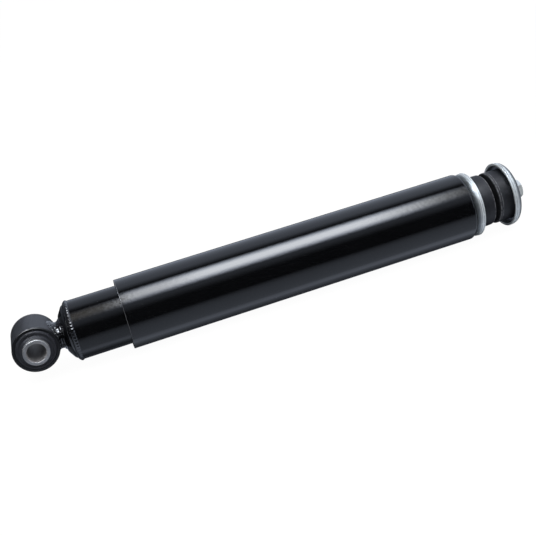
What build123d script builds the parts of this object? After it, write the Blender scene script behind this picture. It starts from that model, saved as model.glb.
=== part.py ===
from build123d import *
import math
import os

os.makedirs("parts", exist_ok=True)

# Heavy-vehicle twin-tube damper, lying down, in millimetres.
# The damper axis is X, from the eye (origin, centre of its bore) to the stud.
# The eye's bore runs along Y and Z is up.

# Fits and clearances
run_fit = 0.05  # radial gap of a piece that slides or turns on another
seat_fit = 0.05  # radial gap of a piece that is set into another of its own body
end_float = 0.1  # axial play of the piston band in its groove

# Travel of the rod from the length shown
compression_travel = 30.0
closed_gap = 5.0  # dust cap above the reservoir when fully closed
foot_gap = 2.2  # rod tip above the foot valve when fully closed
bumper_gap = 1.0  # bumper below the rod guide when fully open
covered_length = 119.2  # reservoir tube still inside the dust tube when fully open

# Eye
eye_od = 53.5
eye_wall = 3.2
eye_width = 46.2
eye_edge = 0.8
sleeve_od = 30.4
sleeve_bore = 22.0
sleeve_length = 63.2
sleeve_edge = 0.7
bush_rim_rise = 1.6  # moulded rim of the rubber beyond the ring's end
bush_rim_width = 5.0
bush_rim_round = 0.8
bush_dish = 0.9  # depth of the dished face inside the rim
bush_dish_round = 1.6
bush_climb = 3.6  # how far the rubber climbs the sleeve

# Weld between the eye and the base cap
neck_radius = 15.8
neck_flare = 1.8
neck_flare_round = 1.5
neck_waist_round = 4.0

# Base cap
cap_nose = 32.3  # station of its flat nose
cap_wall = 3.0
cap_nose_drop = 13.2  # how far its nose lies inside the reservoir tube's radius
cap_knuckle_drop = 3.6
cap_knuckle_length = 6.1
cap_rim = 44.5  # station where it meets the reservoir tube
cap_rim_flat = 1.2
cap_step = 4.2  # length of the step behind the knuckle
cap_step_rise = 0.6
cap_bends = [5.0, 4.0, 2.0, 1.6]
bead_half = 2.4
bead_height = 1.6

# Reservoir tube and pressure tube
reservoir_od = 70.0
reservoir_wall = 2.5
reservoir_length = 459.5
lip_turn = 4.5  # radius of the rolled lip at its middle
lip_width = 6.0
pressure_bore = 45.0
pressure_wall = 2.0

# Foot valve
foot_height = 18.0
foot_radius = 17.4
foot_wall = 4.2
foot_slots = 4
foot_slot_width = 8.0
foot_slot_height = 9.0
foot_disc = 9.0
foot_spigot = 4.0
foot_shoulder = 2.0  # how far the disc stands out past the pressure tube
intake_ports = 10
intake_port_radius = 1.9
intake_port_circle = 19.6
squeeze_ports = 5
squeeze_port_radius = 1.5
squeeze_port_circle = 9.2
seat_depth = 0.8
seat_half = 2.3
foot_shim_land = 1.6  # shim beyond the squeeze ports
foot_pin_radius = 4.0
foot_pin_head = 6.8
foot_pin_head_height = 3.6
foot_nut_flats = 13.0
foot_pin_head_edge = 1.0
foot_nut_height = 6.5
pin_end = 0.8  # pin past its nut

# Check discs and shims, in both valves
check_thickness = 0.8
check_lift = 1.0
check_spare = 0.3  # gap left above the lifted disc
star_thickness = 0.5
star_arm_width = 3.4
star_arms = 3
sleeve_wall = 1.9  # distance sleeve inside a check disc
stop_thickness = 2.4
shim_thickness = 0.4
shim_count = 4
shim_step = 0.9
star_hub = 1.0  # width of a star spring's hub
window_slack = 0.2  # check disc's windows beyond the ports' radius

# Piston
piston_height = 16.0
piston_side_gap = 0.15
band_width = 9.8
band_thickness = 1.65
bleed_ports = 8
bleed_port_radius = 2.0
bleed_port_circle = 16.6
rebound_ports = 6
rebound_port_radius = 1.5
rebound_port_circle = 11.1
rebound_seat_half = 1.9
rebound_shim_land = 1.2
bleed_cover = 1.8  # check disc beyond the bleed ports
support_cover = 0.6  # support washer beyond the rebound ports' inner edge
piston_nut_flats = 21.0
piston_nut_height = 9.0
rod_tip = 1.0  # rod past its nut
support_thickness = 2.4

# Piston rod
rod_od = 20.0
rod_foot_od = 14.0
stud_od = 14.0
stud_spare = 1.6  # stud past its nut
tip_chamfer = 1.4
stop_ring_gap = 17.2  # stop ring beyond the piston's stop washer
stop_ring_width = 6.0
stop_ring_wall = 4.0
bumper_length = 15.0
bumper_wall = 7.4
bumper_edge = 1.6
bumper_waist_half = 2.6
bumper_waist_depth = 2.4

# Rod guide and its seals
guide_spigot = 7.0
guide_flange = 18.0
guide_bush_length = 19.0
guide_bush_wall = 2.0
guide_bush_inset = 0.5
guide_throat_gap = 0.6
guide_chamber_depth = 4.0
guide_chamber_radius = 17.0
drain_holes = 4
drain_radius = 2.0
drain_land = 0.55  # metal between a drain hole and the ring groove
ring_groove_width = 3.2
ring_groove_depth = 2.3
ring_squeeze = 0.05
seal_height = 8.0
seal_lip_height = 2.6
seal_land = 1.5
seal_heel = 1.0  # chamfer inside the retainer
seal_wiper_rise = 1.0
seal_throat = 2.2  # depth of the hollow between the seal's two lips
seal_throat_high = 1.5
seal_throat_low = 0.5
seal_lip_rise = 1.4
garter_radius = 0.9
retainer_thickness = 3.5
retainer_hole = 15.4

# Dust tube and its cap
dust_od = 83.4
dust_wall = 1.5
dust_roll = 2.8  # radius of the rolled end at its middle
dust_lip = 5.4  # flat width of the rolled lip
dust_cap_wall = 3.0
dust_cap_skirt = 9.0
dust_cap_bend = 2.0
dust_cap_knuckle = 2.0  # bend behind the rolled end
dust_cap_fit = 0.1
dust_cap_ledge = 1.6  # ledge inside the rolled lip, before the raised middle
dust_cap_slope = 3.6
dust_cap_step = 0.3  # how far the raised middle stands out past the rolled lip

# Stack on the stud
cup_depth = 10.8
cup_wall = 3.0
cup_drop = 1.2  # how far the cup's lip lies inside the dust tube's radius
cup_flare = 1.1
cup_turn = 5.6
cup_edge = 0.9
bush_slack = 5.1  # room between a bush and the cup's lip
lower_bush_height = 27.5
upper_bush_height = 23.6
bracket_gap = 5.5  # room for the vehicle's bracket
bush_round = 2.6
bush_foot_round = 1.2
bush_foot_taper = 0.6
bush_crown = 9.0  # widest part of the lower bush, below its upper end
bush_crown_round = 20.0
bush_barrel = 0.35
bush_lip_height = 3.4
bush_lip_step = 0.4
bush_lip_round = 0.15
spigot_radius = 18.0
spigot_root_round = 1.0
spacer_od = 22.0
plain_washer_od = 28.0
plain_washer_thickness = 2.5
nut_flats = 21.0
nut_height = 14.7
nut_angle = 21.5  # turn of the nut on the stud
nut_face_share = 0.96  # end face of a nut, against its width across flats
nut_cone_angle = 30.0
small_edge = 0.5  # chamfer of small washers, pins and sleeves
casting_edge = 0.8

# Radii worked out from the sizes above
eye_radius = eye_od / 2
sleeve_radius = sleeve_od / 2
reservoir_radius = reservoir_od / 2
reservoir_inner = reservoir_radius - reservoir_wall
bore_radius = pressure_bore / 2
pressure_radius = bore_radius + pressure_wall
rod_radius = rod_od / 2
rod_foot_radius = rod_foot_od / 2
stud_radius = stud_od / 2
dust_radius = dust_od / 2
cap_nose_radius = reservoir_radius - cap_nose_drop
cap_knuckle_radius = reservoir_radius - cap_knuckle_drop
cup_lip_radius = dust_radius - cup_drop
bush_radius = cup_lip_radius - cup_wall - bush_slack
spacer_radius = spacer_od / 2
guide_radius = reservoir_inner - seat_fit
drain_circle = guide_radius - ring_groove_depth - drain_land - drain_radius
check_height = check_thickness + star_thickness + check_lift + check_spare

# Stations along the axis, from the base cap up to the rod guide
cap_floor = cap_nose + cap_wall
foot_disc_start = cap_floor + foot_height
foot_disc_end = foot_disc_start + foot_disc
foot_top = foot_disc_end + foot_spigot
foot_stop_start = foot_top + check_height
foot_nut_start = foot_stop_start + stop_thickness
foot_pin_end = foot_nut_start + foot_nut_height + pin_end
reservoir_top = cap_rim + reservoir_length
retainer_start = reservoir_top - reservoir_wall - retainer_thickness
seal_start = retainer_start - seal_height
guide_start = seal_start - guide_flange
guide_low = guide_start - guide_spigot

# Stations along the rod
rod_low = foot_pin_end + compression_travel + foot_gap
piston_nut_start = rod_low + rod_tip
support_start = piston_nut_start + piston_nut_height
shims_start = support_start + support_thickness
piston_start = shims_start + shim_count * shim_thickness
piston_end = piston_start + piston_height
piston_stop_start = piston_end + check_height
rod_step = piston_stop_start + stop_thickness
stop_ring_start = rod_step + stop_ring_gap
bumper_start = stop_ring_start + stop_ring_width
bumper_end = bumper_start + bumper_length
rebound_travel = guide_low - bumper_gap - bumper_end
rod_shoulder = reservoir_top + compression_travel + closed_gap
dust_start = reservoir_top - rebound_travel - covered_length

# Stations along the stud
stack_start = rod_shoulder + dust_cap_wall
lower_floor = stack_start + cup_wall
lower_bush_end = lower_floor + lower_bush_height
upper_bush_start = lower_bush_end + bracket_gap
upper_floor = upper_bush_start + upper_bush_height
stack_end = upper_floor + cup_wall
nut_start = stack_end + plain_washer_thickness
nut_end = nut_start + nut_height
stud_end = nut_end + stud_spare


def save(name, shape):
    export_step(shape, f"parts/{name}.step")


def outline(points, rounds=0):
    """Closed face in the XY plane from (along, out) points, with its corners rounded."""
    if rounds:
        return make_face(FilletPolyline(*points, radius=rounds, close=True))
    return make_face(Polyline(*points, close=True))


def turned(points, rounds=0):
    """Solid of revolution about X, from (station, radius) points."""
    return revolve(outline(points, rounds), Axis.X)


def turned_about_bore(points, rounds=0):
    """Solid of revolution about Y, from (place along Y, radius) points."""
    swapped = [(radius, place) for place, radius in points]
    return revolve(outline(swapped, rounds), Axis.Y)


def ring(start, end, inner, outer, edge=0.0):
    """Plain ring about X, with its outer edges chamfered."""
    points = [(start, inner), (start, outer - edge), (start + edge, outer)]
    points += [(end - edge, outer), (end, outer - edge), (end, inner)]
    if not edge:
        points = [(start, inner), (start, outer), (end, outer), (end, inner)]
    return turned(points)


def disc(start, end, radius):
    """Solid disc about X."""
    return turned([(start, 0), (start, radius), (end, radius), (end, 0)])


def sheet_face(points, bends, thickness):
    """Section of bent sheet: a line of even thickness through points, bent at its corners."""
    line = FilletPolyline(*points, radius=bends)
    half = thickness / 2
    near = offset(line, amount=half, side=Side.LEFT, closed=True)
    far = offset(line, amount=half, side=Side.RIGHT, closed=True)
    return make_face(near) + make_face(far)


def along_x(place, turn=0.0):
    """Plane whose own Z runs along the damper axis, at a place and turned about it."""
    return Plane(origin=(place, 0, 0), x_dir=(0, 1, 0), z_dir=(1, 0, 0)) * Rot(0, 0, turn)


def drilled(count, circle, radius, start, end, turn=0.0):
    """Ring of round holes along X."""
    holes = []
    for index in range(count):
        angle = turn + 360 * index / count
        spot = along_x(start, angle) * Pos(circle, 0, 0)
        holes.append(spot * extrude(Circle(radius), end - start))
    return holes


def hex_nut(start, height, flats, hole, turn=0.0):
    """Hexagon nut along X with both ends turned to a cone."""
    across = flats / math.sqrt(3)
    body = along_x(start, turn) * extrude(RegularPolygon(flats / 2, 6, major_radius=False), height)
    face = flats / 2 * nut_face_share
    rise = (across - face) * math.tan(math.radians(nut_cone_angle))
    end = start + height
    cone = [(start, 0), (start, face), (start + rise, across)]
    cone += [(end - rise, across), (end, face), (end, 0)]
    return (body & turned(cone)) - disc(start, end, hole)


def star_spring(start, hub_inner, hub_outer, reach):
    """Flat spring with arms, lying on a check disc."""
    arms = Circle(hub_outer)
    for index in range(star_arms):
        arm = Pos(reach / 2, 0) * SlotOverall(reach, star_arm_width)
        arms += Rot(0, 0, 360 * index / star_arms) * arm
    return along_x(start) * extrude(arms - Circle(hub_inner), star_thickness)


def check_disc(start, inner, outer, windows, window_circle, window_radius):
    """Thin valve disc with windows that leave the inner ports open."""
    plate = Circle(outer) - Circle(inner)
    for index in range(windows):
        plate -= Rot(0, 0, 360 * index / windows) * Pos(window_circle, 0) * Circle(window_radius)
    return along_x(start) * extrude(plate, check_thickness)


def shim_stack(face, step, inner, largest):
    """Shims that shrink away from a valve face, as separate solids."""
    shims = []
    for index in range(shim_count):
        near = face + step * index * shim_thickness
        far = near + step * shim_thickness
        shims.append(ring(min(near, far), max(near, far), inner, largest - index * shim_step))
    return Compound(children=shims)


# Eye ring, sleeve and rubber

def eye_ring():
    half = eye_width / 2
    inner = eye_radius - eye_wall
    points = [(-half, inner), (-half, eye_radius - eye_edge), (eye_edge - half, eye_radius)]
    points += [(half - eye_edge, eye_radius), (half, eye_radius - eye_edge), (half, inner)]
    return turned_about_bore(points)


def eye_sleeve():
    half = sleeve_length / 2
    bore = sleeve_bore / 2
    wide = bore + sleeve_edge
    narrow = sleeve_radius - sleeve_edge
    points = [(sleeve_edge - half, bore), (-half, wide), (-half, narrow)]
    points += [(sleeve_edge - half, sleeve_radius), (half - sleeve_edge, sleeve_radius)]
    points += [(half, narrow), (half, wide), (half - sleeve_edge, bore)]
    return turned_about_bore(points)


def eye_bush():
    inner = sleeve_radius + run_fit
    outer = eye_radius - eye_wall
    edge = eye_width / 2 - eye_edge
    rim = eye_width / 2 + bush_rim_rise
    dish = eye_width / 2 + bush_rim_rise - bush_dish
    climb = eye_width / 2 + bush_climb
    crest = outer - bush_rim_width / 2
    half = [(edge, outer), (rim, crest + bush_rim_round), (rim, crest - bush_rim_round)]
    half += [(dish, outer - bush_rim_width), (climb, inner)]
    points = half + [(-place, radius) for place, radius in reversed(half)]
    rounds = [0, bush_rim_round, bush_rim_round, bush_dish_round, 0]
    return turned_about_bore(points, rounds + rounds[::-1])


def eye_weld():
    waist = (eye_radius + cap_nose) / 2
    wide = neck_radius + neck_flare
    points = [(0, 0), (0, wide), (eye_radius - neck_flare, wide), (waist, neck_radius)]
    points += [(cap_nose, wide), (cap_nose, 0)]
    body = turned(points, [0, 0, neck_flare_round, neck_waist_round, 0, 0])
    hollow = Rot(90, 0, 0) * Cylinder(eye_radius, eye_width + 4 * neck_flare)
    return body - hollow


# Base cap and reservoir tube

def cap_line():
    """Middle line of the pressed cap, from the axis out to its rim."""
    half = cap_wall / 2
    knuckle = cap_nose + cap_knuckle_length
    points = [(cap_nose + half, 0), (cap_nose + half, cap_nose_radius - half)]
    points += [(knuckle + half, cap_knuckle_radius - half)]
    points += [(cap_rim - cap_step + half, cap_knuckle_radius - half + cap_step_rise)]
    points += [(cap_rim - cap_rim_flat, reservoir_radius - half), (cap_rim, reservoir_radius - half)]
    return points


def base_cap():
    section = sheet_face(cap_line(), cap_bends, cap_wall)
    return revolve(section, Axis.X)


def base_seam_weld():
    middle = cap_rim + bead_half / 4
    start = (middle - bead_half, reservoir_radius)
    top = (middle, reservoir_radius + bead_height)
    end = (middle + bead_half, reservoir_radius)
    bead = ThreePointArc(start, top, end) + Line(end, start)
    bead_section = make_face(bead)
    return revolve(bead_section, Axis.X) - base_cap()


def reservoir_tube():
    half = reservoir_wall / 2
    middle = reservoir_radius - half
    lip = middle - lip_turn - lip_width
    points = [(cap_rim, middle), (reservoir_top - half, middle), (reservoir_top - half, lip)]
    return revolve(sheet_face(points, lip_turn, reservoir_wall), Axis.X)


def pressure_tube():
    return ring(foot_disc_end, guide_start, bore_radius, pressure_radius)


# Foot valve

def foot_valve_body():
    rim = pressure_radius + foot_shoulder
    spigot = bore_radius - seat_fit
    body = ring(foot_disc_start, foot_disc_end, foot_pin_radius, rim, edge=casting_edge)
    body += ring(foot_disc_end, foot_top, foot_pin_radius, spigot)
    body += ring(cap_floor, foot_disc_start, foot_radius - foot_wall, foot_radius)
    for index in range(foot_slots):
        turn = 360 * index / foot_slots + 45
        slot = Pos(foot_radius, 0) * Rectangle(2 * foot_radius, foot_slot_width)
        body -= along_x(cap_floor, turn) * extrude(slot, foot_slot_height)
    for hole in drilled(intake_ports, intake_port_circle, intake_port_radius, foot_disc_start, foot_top):
        body -= hole
    for hole in drilled(squeeze_ports, squeeze_port_circle, squeeze_port_radius, foot_disc_start, foot_top):
        body -= hole
    seat = foot_top - seat_depth
    body -= ring(seat, foot_top, intake_port_circle - seat_half, intake_port_circle + seat_half)
    body -= ring(
        foot_disc_start,
        foot_disc_start + seat_depth,
        squeeze_port_circle - seat_half,
        squeeze_port_circle + seat_half,
    )
    return body


def foot_valve_pin():
    shim_end = foot_disc_start - shim_count * shim_thickness
    head_start = shim_end - foot_pin_head_height
    head = ring(head_start, shim_end, 0, foot_pin_head, edge=foot_pin_head_edge)
    shank = ring(shim_end, foot_pin_end, 0, foot_pin_radius, edge=small_edge)
    return head + shank


def foot_valve_shims():
    largest = squeeze_port_circle + squeeze_port_radius + foot_shim_land
    return shim_stack(foot_disc_start, -1, foot_pin_radius, largest)


def foot_check_disc():
    inner = foot_pin_radius + sleeve_wall + run_fit
    outer = bore_radius - 2 * run_fit
    window = squeeze_port_radius + 2 * window_slack
    return check_disc(foot_top, inner, outer, squeeze_ports, squeeze_port_circle, window)


def foot_star_spring():
    inner = foot_pin_radius + sleeve_wall + run_fit
    return star_spring(foot_top + check_thickness, inner, inner + star_hub, intake_port_circle)


def foot_distance_sleeve():
    return ring(foot_top, foot_stop_start, foot_pin_radius, foot_pin_radius + sleeve_wall)


def foot_stop_washer():
    outer = squeeze_port_circle - squeeze_port_radius
    return ring(foot_stop_start, foot_nut_start, foot_pin_radius, outer, edge=small_edge)


def foot_valve_nut():
    return hex_nut(foot_nut_start, foot_nut_height, foot_nut_flats, foot_pin_radius)


# Piston

def piston():
    outer = bore_radius - piston_side_gap
    body = ring(piston_start, piston_end, rod_foot_radius, outer, edge=casting_edge)
    middle = (piston_start + piston_end) / 2
    groove = band_width / 2 + end_float
    floor = bore_radius - run_fit - band_thickness - run_fit
    body -= ring(middle - groove, middle + groove, floor, outer + 1)
    for hole in drilled(bleed_ports, bleed_port_circle, bleed_port_radius, piston_start, piston_end):
        body -= hole
    for hole in drilled(rebound_ports, rebound_port_circle, rebound_port_radius, piston_start, piston_end):
        body -= hole
    seat = piston_end - seat_depth
    body -= ring(seat, piston_end, bleed_port_circle - seat_half, bleed_port_circle + seat_half)
    body -= ring(
        piston_start,
        piston_start + seat_depth,
        rebound_port_circle - rebound_seat_half,
        rebound_port_circle + rebound_seat_half,
    )
    return body


def piston_band():
    middle = (piston_start + piston_end) / 2
    outer = bore_radius - run_fit
    return ring(middle - band_width / 2, middle + band_width / 2, outer - band_thickness, outer)


def piston_shims():
    largest = rebound_port_circle + rebound_port_radius + rebound_shim_land
    return shim_stack(piston_start, -1, rod_foot_radius, largest)


def piston_support_washer():
    outer = rebound_port_circle - rebound_port_radius + support_cover
    return ring(support_start, shims_start, rod_foot_radius, outer, edge=small_edge)


def piston_nut():
    return hex_nut(piston_nut_start, piston_nut_height, piston_nut_flats, rod_foot_radius)


def piston_check_disc():
    inner = rod_foot_radius + sleeve_wall + run_fit
    outer = bleed_port_circle + bleed_port_radius + bleed_cover
    window = rebound_port_radius + window_slack
    return check_disc(piston_end, inner, outer, rebound_ports, rebound_port_circle, window)


def piston_star_spring():
    inner = rod_foot_radius + sleeve_wall + run_fit
    return star_spring(piston_end + check_thickness, inner, inner + star_hub, bleed_port_circle)


def piston_distance_sleeve():
    outer = rod_foot_radius + sleeve_wall
    return ring(piston_end, piston_stop_start, rod_foot_radius, outer)


def piston_stop_washer():
    outer = rebound_port_circle + rebound_port_radius
    return ring(piston_stop_start, rod_step, rod_foot_radius, outer, edge=small_edge)


# Piston rod and what is pressed on it

def piston_rod():
    points = [(rod_low, 0), (rod_low, rod_foot_radius - tip_chamfer)]
    points += [(rod_low + tip_chamfer, rod_foot_radius), (rod_step, rod_foot_radius)]
    points += [(rod_step, rod_radius), (rod_shoulder, rod_radius), (rod_shoulder, stud_radius)]
    points += [(stud_end - tip_chamfer, stud_radius), (stud_end, stud_radius - tip_chamfer)]
    points += [(stud_end, 0)]
    return turned(points)


def rebound_stop_ring():
    outer = rod_radius + stop_ring_wall
    return ring(stop_ring_start, bumper_start, rod_radius, outer, edge=casting_edge)


def rebound_bumper():
    inner = rod_radius + seat_fit
    outer = rod_radius + bumper_wall
    body = ring(bumper_start, bumper_end, inner, outer, edge=bumper_edge)
    middle = (bumper_start + bumper_end) / 2
    mouth = [(middle - bumper_waist_half, outer + 1), (middle + bumper_waist_half, outer + 1)]
    return body - turned(mouth + [(middle, outer - bumper_waist_depth)])


# Rod guide and its seals

def rod_guide():
    bush_seat = rod_radius + run_fit + guide_bush_wall
    bush_end = guide_low + guide_bush_inset + guide_bush_length
    throat = rod_radius + guide_throat_gap
    points = [(guide_low, bush_seat), (guide_low, bore_radius - seat_fit)]
    points += [(guide_start, bore_radius - seat_fit), (guide_start, guide_radius)]
    points += [(seal_start, guide_radius), (seal_start, guide_chamber_radius)]
    points += [(seal_start - guide_chamber_depth, guide_chamber_radius)]
    points += [(seal_start - guide_chamber_depth, throat), (bush_end, throat), (bush_end, bush_seat)]
    body = turned(points)
    middle = (guide_start + seal_start) / 2
    half = ring_groove_width / 2
    body -= ring(middle - half, middle + half, guide_radius - ring_groove_depth, guide_radius + 1)
    for hole in drilled(drain_holes, drain_circle, drain_radius, guide_start, seal_start):
        body -= hole
    return body


def guide_bush():
    inner = rod_radius + run_fit
    start = guide_low + guide_bush_inset
    return ring(start, start + guide_bush_length, inner, inner + guide_bush_wall)


def guide_ring_seal():
    middle = (guide_start + seal_start) / 2
    floor = guide_radius - ring_groove_depth
    section = (reservoir_inner - floor) / 2 - ring_squeeze
    spot = along_x(middle)
    return spot * Torus(floor + ring_squeeze + section, section)


def garter_place():
    """Station and radius of the middle of the garter spring."""
    return seal_start - seal_lip_height / 2, rod_radius + run_fit + seal_land + garter_radius


def rod_seal():
    lip = rod_radius + run_fit
    outer = guide_radius
    low = seal_start - seal_lip_height
    high = retainer_start + retainer_thickness
    middle = seal_start + seal_height / 2
    heel = retainer_hole - seat_fit
    points = [(seal_start, outer), (retainer_start, outer), (retainer_start, heel)]
    points += [(retainer_start + seal_heel, heel), (high, lip + seal_land), (high, lip)]
    points += [(high - seal_wiper_rise, lip), (middle + seal_throat_high, lip + seal_throat)]
    points += [(middle - seal_throat_low, lip + seal_throat)]
    points += [(low + seal_lip_rise, lip), (low, lip), (low, lip + seal_land)]
    points += [(seal_start, lip + 2 * seal_land + garter_radius)]
    place, radius = garter_place()
    return turned(points) - along_x(place) * Torus(radius, garter_radius)


def seal_garter_spring():
    place, radius = garter_place()
    return along_x(place) * Torus(radius, garter_radius)


def seal_retainer():
    points = [(retainer_start, retainer_hole), (retainer_start, guide_radius)]
    edge = lip_turn - reservoir_wall / 2
    end = retainer_start + retainer_thickness
    points += [(end - edge, guide_radius), (end, guide_radius - edge), (end, retainer_hole)]
    return turned(points)


# Dust tube and its cap

def dust_tube():
    half = dust_wall / 2
    middle = dust_radius - half
    face = stack_start - half - dust_cap_step
    points = [(dust_start, middle), (face, middle), (face, middle - dust_roll - dust_lip)]
    return revolve(sheet_face(points, dust_roll, dust_wall), Axis.X)


def dust_cap():
    half = dust_cap_wall / 2
    skirt = dust_radius - dust_wall - dust_cap_fit - half
    plate = stack_start - half
    ledge = plate - dust_wall - dust_cap_step
    foot = dust_radius - dust_wall / 2 - dust_roll - dust_lip - dust_cap_ledge
    points = [(plate, stud_radius), (plate, foot - dust_cap_slope), (ledge, foot)]
    points += [(ledge, skirt), (ledge - dust_cap_skirt, skirt)]
    bends = [dust_cap_bend, dust_cap_bend, dust_cap_knuckle]
    return revolve(sheet_face(points, bends, dust_cap_wall), Axis.X)


# Stack on the stud: cup washers, rubbers, spacer, washer and nut

def cup_washer(back, step):
    """Pressed cup about X: its back face is at one station and it opens along step."""
    half = cup_wall / 2
    base = back + step * half
    lip = back + step * cup_depth
    middle = cup_lip_radius - half
    points = [(base, stud_radius), (base, middle - cup_flare), (lip, middle)]
    face = sheet_face(points, cup_turn, cup_wall)
    rim = [corner for corner in face.vertices() if abs(corner.X - lip) < cup_wall / 2]
    return revolve(fillet(rim, cup_edge), Axis.X)


def lower_bush():
    inner = spacer_radius + seat_fit
    wide = bush_radius - bush_barrel
    points = [(lower_floor, inner), (lower_floor, wide - bush_foot_taper)]
    points += [(lower_bush_end - bush_crown, bush_radius), (lower_bush_end, wide)]
    points += [(lower_bush_end, spigot_radius), (upper_bush_start, spigot_radius)]
    points += [(upper_bush_start, inner)]
    rounds = [0, bush_foot_round, bush_crown_round, bush_round, spigot_root_round, 0, 0]
    return turned(points, rounds)


def upper_bush():
    inner = spacer_radius + seat_fit
    lip_end = upper_bush_start + bush_lip_height
    points = [(upper_bush_start, inner), (upper_bush_start, bush_radius)]
    points += [(lip_end, bush_radius), (lip_end, bush_radius - bush_lip_step)]
    points += [(upper_floor, bush_radius - bush_lip_step), (upper_floor, inner)]
    rounds = [0, bush_foot_round, bush_lip_round, bush_lip_round, bush_foot_round, 0]
    return turned(points, rounds)


def spacer_sleeve():
    return ring(lower_floor, upper_floor, stud_radius, spacer_radius, edge=small_edge)


def plain_washer():
    return ring(stack_end, nut_start, stud_radius, plain_washer_od / 2, edge=small_edge)


# Eye end and cylinder
save("eye_ring", eye_ring())
save("eye_bush", eye_bush())
save("eye_sleeve", eye_sleeve())
save("eye_weld", eye_weld())
save("base_cap", base_cap())
save("base_seam_weld", base_seam_weld())
save("reservoir_tube", reservoir_tube())
save("pressure_tube", pressure_tube())

# Foot valve
save("foot_valve_body", foot_valve_body())
save("foot_valve_pin", foot_valve_pin())
save("foot_valve_shims", foot_valve_shims())
save("foot_check_disc", foot_check_disc())
save("foot_star_spring", foot_star_spring())
save("foot_distance_sleeve", foot_distance_sleeve())
save("foot_stop_washer", foot_stop_washer())
save("foot_valve_nut", foot_valve_nut())

# Rod guide
save("rod_guide", rod_guide())
save("guide_bush", guide_bush())
save("guide_ring_seal", guide_ring_seal())
save("rod_seal", rod_seal())
save("seal_garter_spring", seal_garter_spring())
save("seal_retainer", seal_retainer())

# Piston and rod
save("piston", piston())
save("piston_band", piston_band())
save("piston_shims", piston_shims())
save("piston_support_washer", piston_support_washer())
save("piston_nut", piston_nut())
save("piston_check_disc", piston_check_disc())
save("piston_star_spring", piston_star_spring())
save("piston_distance_sleeve", piston_distance_sleeve())
save("piston_stop_washer", piston_stop_washer())
save("piston_rod", piston_rod())
save("rebound_stop_ring", rebound_stop_ring())
save("rebound_bumper", rebound_bumper())

# Dust tube and stud end
save("dust_tube", dust_tube())
save("dust_cap", dust_cap())
save("lower_cup_washer", cup_washer(stack_start, 1))
save("lower_bush", lower_bush())
save("spacer_sleeve", spacer_sleeve())
save("upper_bush", upper_bush())
save("upper_cup_washer", cup_washer(stack_end, -1))
save("plain_washer", plain_washer())
save("stud_nut", hex_nut(nut_start, nut_height, nut_flats, stud_radius, nut_angle))
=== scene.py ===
import math

import bmesh
import bpy
from mathutils import Matrix, Vector, noise


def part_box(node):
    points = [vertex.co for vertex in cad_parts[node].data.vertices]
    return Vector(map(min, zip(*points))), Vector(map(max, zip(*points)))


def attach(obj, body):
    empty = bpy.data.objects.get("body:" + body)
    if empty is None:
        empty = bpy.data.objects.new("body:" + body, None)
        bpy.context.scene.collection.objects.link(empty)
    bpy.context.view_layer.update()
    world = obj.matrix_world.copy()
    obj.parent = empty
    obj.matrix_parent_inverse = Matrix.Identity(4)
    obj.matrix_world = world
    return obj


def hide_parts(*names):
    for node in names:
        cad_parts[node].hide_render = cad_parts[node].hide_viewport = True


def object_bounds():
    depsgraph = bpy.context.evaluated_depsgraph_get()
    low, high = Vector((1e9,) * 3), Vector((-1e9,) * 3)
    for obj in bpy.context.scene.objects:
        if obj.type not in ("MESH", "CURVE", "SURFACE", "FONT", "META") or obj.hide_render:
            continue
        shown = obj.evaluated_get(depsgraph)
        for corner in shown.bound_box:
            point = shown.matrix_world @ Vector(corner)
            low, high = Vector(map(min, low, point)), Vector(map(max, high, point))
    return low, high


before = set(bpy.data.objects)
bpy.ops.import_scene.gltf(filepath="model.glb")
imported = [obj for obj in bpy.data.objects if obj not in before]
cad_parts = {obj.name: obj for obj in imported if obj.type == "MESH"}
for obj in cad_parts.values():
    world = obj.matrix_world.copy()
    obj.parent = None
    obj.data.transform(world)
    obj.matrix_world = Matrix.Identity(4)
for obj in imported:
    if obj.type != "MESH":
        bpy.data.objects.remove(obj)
CAD_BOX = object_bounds()

bl_info = {
    "name": "Twin-tube damper",
    "version": (1, 0, 0),
    "blender": (4, 5, 0),
    "location": "3D View > Sidebar > Damper",
    "description": "Paint, plating, rubber, welds and studio of a heavy-vehicle damper",
    "category": "Object",
}

# All lengths are in metres. The damper lies along X, the eye's bore along Y.

# Wear and dirt, and painted shade and highlights, as a colour socket takes them
PAINT_DUST = (0.05, 0.05, 0.052, 1.0)
BARE_EDGE = (0.28, 0.29, 0.31, 1.0)
RUBBED_PAINT = (0.085, 0.088, 0.095, 1.0)
THICK_SHADED_PAINT = (0.0015, 0.0016, 0.0020, 1.0)
SCUFF_AND_HIGHLIGHT_RUBBER = (0.100, 0.104, 0.114, 1.0)
SHADED_RUBBER_FACE = (0.0006, 0.0006, 0.0008, 1.0)
DULL_ZINC = (0.36, 0.38, 0.41, 1.0)
SHADED_CUP_INSIDE = (0.13, 0.15, 0.21, 1.0)
ZINC_BEND_SHADE = (0.075, 0.088, 0.10, 1.0)
DRAG_MARK = (0.08, 0.09, 0.11, 1.0)
DARKER_BORE_GREY = (0.27, 0.26, 0.26, 1.0)
CUT_THREAD = (0.46, 0.48, 0.51, 1.0)

# Tints of single pieces
SLEEVE_STEEL = (0.40, 0.40, 0.405)
HONED_STEEL = (0.50, 0.50, 0.51)
SPRING_STEEL = (0.40, 0.42, 0.47)
GARTER_STEEL = (0.48, 0.48, 0.50)
FOOT_IRON = (0.26, 0.25, 0.24)
PISTON_IRON = (0.28, 0.27, 0.26)
GUIDE_CASTING = (0.44, 0.44, 0.45)
BRONZE = (0.56, 0.36, 0.16)
HARD_CHROME = (0.72, 0.73, 0.76)
SLIDE_BAND = (0.17, 0.13, 0.09)
BUMPER = (0.55, 0.46, 0.27)
SEAL_RUBBER = (0.010, 0.010, 0.011)
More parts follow.
